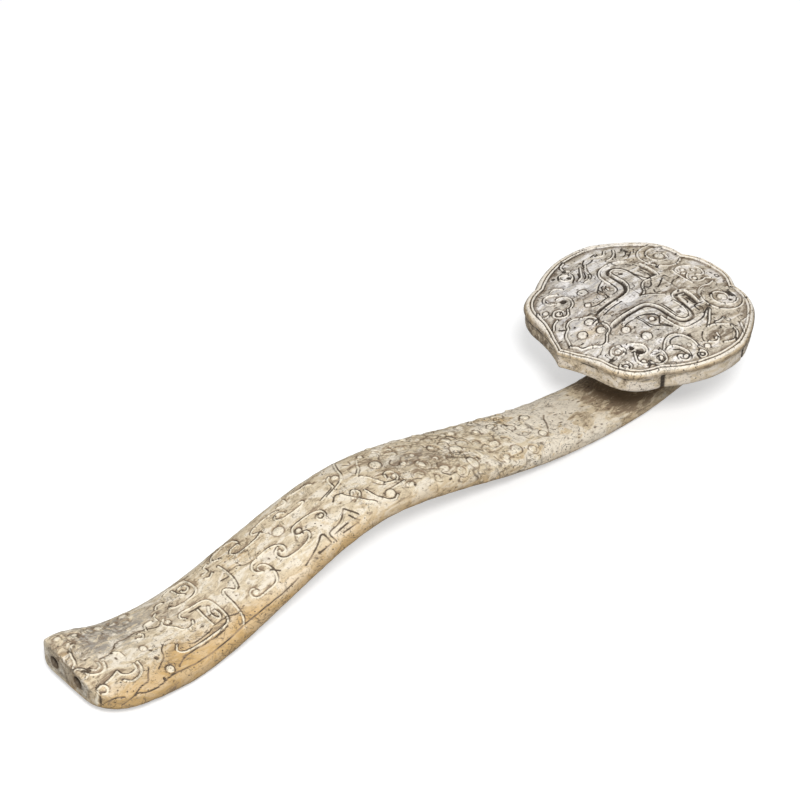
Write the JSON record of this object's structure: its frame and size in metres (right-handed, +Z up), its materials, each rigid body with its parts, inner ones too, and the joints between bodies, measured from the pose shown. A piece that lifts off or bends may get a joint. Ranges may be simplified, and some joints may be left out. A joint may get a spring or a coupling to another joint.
{
  "type": "ruyi scepter",
  "caption": "Long arched jade scepter with a curled neck and a cloud-lobed, domed head plaque, carved all over its upper side; cord holes in the tail.",
  "frame": {"origin": "on the ground, under the middle of the scepter's length, on the line along which the head plaque is symmetric", "axes": "+X from the tail to the head, +Y to the side that has the sharp tail corner, +Z up from the ground it stands on"},
  "size_m": [0.4611, 0.1306, 0.0691],
  "materials": {
    "calcified_jade": "satin, opaque stone",
    "grey_jade": "satin, opaque stone",
    "lacquer": "dried lacquer",
    "bamboo": "plain"
  },
  "bodies": {
    "root": {"shaft": "calcified_jade", "head_plaque": "grey_jade", "lacquer_film": "lacquer", "dowel_far": "bamboo", "dowel_near": "bamboo"}
  },
  "joints": []
}
